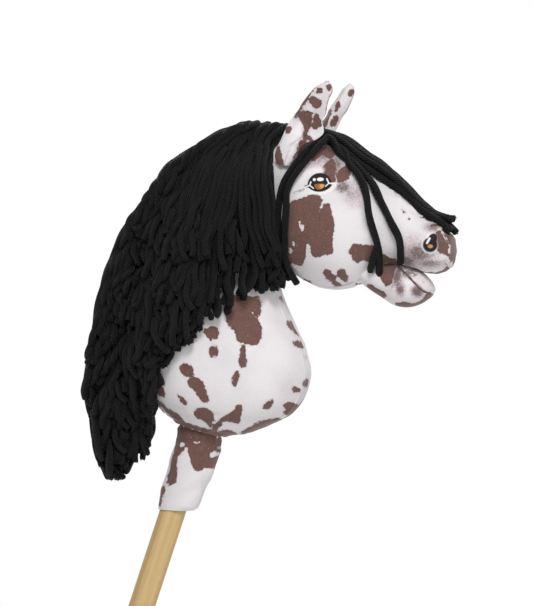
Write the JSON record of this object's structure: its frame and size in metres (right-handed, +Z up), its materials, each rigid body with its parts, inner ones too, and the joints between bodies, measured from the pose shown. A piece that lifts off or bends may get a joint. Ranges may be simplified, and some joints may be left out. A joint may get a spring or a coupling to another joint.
{
  "type": "hobby horse",
  "caption": "Stuffed cloth horse head and neck with pricked ears, yarn mane and forelock, sewn round a straight wooden pole that a child holds and rides astride",
  "frame": {"origin": "centre of the flat face at the pole's foot, where the pole's middle line leaves it", "axes": "+Z up, +X the way the horse looks, +Y to the horse's left. The mane falls on the -Y side. The pole leans 18.4 degrees from +Z towards +X, as the toy is held"},
  "size_m": [0.4708, 0.1405, 0.9556],
  "materials": {
    "pine": "plain sanded softwood, no lacquer",
    "spotted_cloth": "short-napped off-white cloth with brown coat spots",
    "brown_cloth": "short-napped brown mottled cloth",
    "filling": "loose white fibre filling",
    "tape": "black woven tape",
    "yarn": "thick matt black plied yarn",
    "felt": "grey felt disc"
  },
  "bodies": {
    "root": {"base_panel": "spotted_cloth", "cheek_lock": "yarn", "chest_gusset": "spotted_cloth", "crest_gusset": "spotted_cloth", "forehead_gusset": "spotted_cloth", "forelock_tape": "tape", "head_stuffing": "filling", "jaw_stuffing": "filling", "lower_lip_lining": "brown_cloth", "lower_lip_panel": "spotted_cloth", "mane_roots": "yarn", "mane_tape": "tape", "neck_stuffing": "filling", "pole": "pine", "pole_top_pad": "felt", "side_panel_far": "spotted_cloth", "side_panel_near": "spotted_cloth", "sleeve_far": "spotted_cloth", "sleeve_near": "spotted_cloth", "under_jaw_gusset": "spotted_cloth", "upper_lip_lining": "spotted_cloth"},
    "ear_near": {"ear_near_back_panel": "spotted_cloth", "ear_near_front_panel": "brown_cloth", "ear_near_wadding": "filling"},
    "ear_far": {"ear_far_back_panel": "spotted_cloth", "ear_far_front_panel": "brown_cloth", "ear_far_wadding": "filling"},
    "forelock": {"forelock_lock_far": "yarn", "forelock_lock_middle": "yarn", "forelock_lock_near": "yarn", "forelock_strand_a": "yarn", "forelock_strand_b": "yarn"},
    "mane_front": {"mane_front_lock_a": "yarn", "mane_front_lock_b": "yarn", "mane_front_lock_c": "yarn", "mane_front_lock_d": "yarn"},
    "mane_middle": {"mane_middle_lock_a": "yarn", "mane_middle_lock_b": "yarn", "mane_middle_lock_c": "yarn"},
    "mane_back": {"mane_back_lock_a": "yarn", "mane_back_lock_b": "yarn", "mane_back_lock_c": "yarn", "mane_back_lock_d": "yarn"}
  },
  "joints": [
    {"name": "ear_near_flex", "type": "hinge", "parent": "root", "child": "ear_near", "pos_m": [0.3014, -0.0492, 0.87427], "axis": [0, -1, 0], "range_deg": [-20, 25], "stiffness_Nm_per_rad": 0.05},
    {"name": "ear_far_flex", "type": "hinge", "parent": "root", "child": "ear_far", "pos_m": [0.3014, 0.0492, 0.87427], "axis": [0, -1, 0], "range_deg": [-20, 25], "stiffness_Nm_per_rad": 0.05},
    {"name": "forelock_lift", "type": "hinge", "parent": "root", "child": "forelock", "pos_m": [0.32039, 0, 0.90527], "axis": [0, -1, 0], "range_deg": [0, 30]},
    {"name": "mane_front_lift", "type": "hinge", "parent": "root", "child": "mane_front", "pos_m": [0.2474, -0.036, 0.91127], "axis": [-1, 0, 0], "range_deg": [0, 40]},
    {"name": "mane_middle_lift", "type": "hinge", "parent": "root", "child": "mane_middle", "pos_m": [0.1854, -0.036, 0.88527], "axis": [-1, 0, 0], "range_deg": [0, 40]},
    {"name": "mane_back_lift", "type": "hinge", "parent": "root", "child": "mane_back", "pos_m": [0.13939, -0.036, 0.82327], "axis": [-1, 0, 0], "range_deg": [0, 40]}
  ],
  "couplings": [
    {"joint": "mane_middle_lift", "follows": "mane_front_lift", "ratio": 1},
    {"joint": "mane_back_lift", "follows": "mane_front_lift", "ratio": 1}
  ]
}
